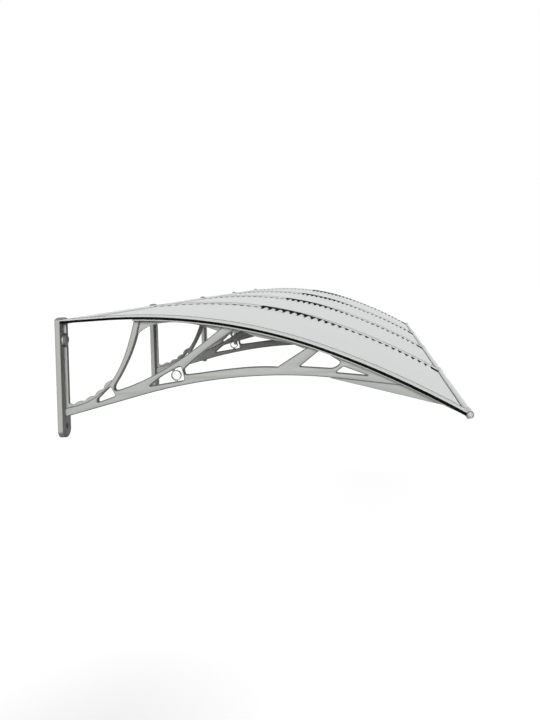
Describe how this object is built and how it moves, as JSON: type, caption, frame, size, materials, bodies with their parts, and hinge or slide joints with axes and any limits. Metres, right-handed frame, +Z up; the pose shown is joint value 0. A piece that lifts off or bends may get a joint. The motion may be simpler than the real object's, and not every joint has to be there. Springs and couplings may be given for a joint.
{
  "type": "door canopy",
  "caption": "Shallow arched door canopy of clear-grey sheet panels joined side by side, held off a wall by openwork brackets with cover strips and a round front rail.",
  "frame": {"origin": "on the back face of the middle bracket's post, 143.5 mm above its lower end and on its centre line, in the plane of the wall", "axes": "+X along the wall, from the near end in the picture to the far end; +Y into the wall; +Z up, so the canopy projects towards -Y"},
  "size_m": [2.4516, 0.9998, 0.2912],
  "materials": {
    "bracket_grey": "moulded, light grey, satin",
    "panel_polycarbonate": "pale grey solid sheet, satin gloss",
    "strip_aluminium": "anodised, satin",
    "seal_rubber": "black, matt",
    "rail_aluminium": "anodised, satin",
    "cap_plastic": "moulded, grey, satin",
    "screw_steel": "bright zinc plate"
  },
  "bodies": {
    "root": {"bracket_1": "bracket_grey", "bracket_2": "bracket_grey", "bracket_3": "bracket_grey", "bracket_4": "bracket_grey", "bracket_5": "bracket_grey", "bolt_cap_1": "cap_plastic", "bolt_cap_2": "cap_plastic", "bolt_cap_3": "cap_plastic", "bolt_cap_4": "cap_plastic", "bolt_cap_5": "cap_plastic", "panel_1": "panel_polycarbonate", "panel_2": "panel_polycarbonate", "panel_3": "panel_polycarbonate", "panel_4": "panel_polycarbonate", "cover_strip_1": "strip_aluminium", "cover_strip_2": "strip_aluminium", "cover_strip_3": "strip_aluminium", "cover_strip_4": "strip_aluminium", "cover_strip_5": "strip_aluminium", "seal_1": "seal_rubber", "seal_2": "seal_rubber", "seal_3": "seal_rubber", "seal_4": "seal_rubber", "seal_5": "seal_rubber", "front_rail_1": "rail_aluminium", "front_rail_2": "rail_aluminium", "front_rail_3": "rail_aluminium", "front_rail_4": "rail_aluminium", "rear_rail_1": "rail_aluminium", "rear_rail_2": "rail_aluminium", "rear_rail_3": "rail_aluminium", "rear_rail_4": "rail_aluminium", "rail_end_cap_1": "cap_plastic", "rail_end_cap_2": "cap_plastic", "rail_cap_screw_1": "screw_steel", "rail_cap_screw_2": "screw_steel"}
  },
  "joints": []
}
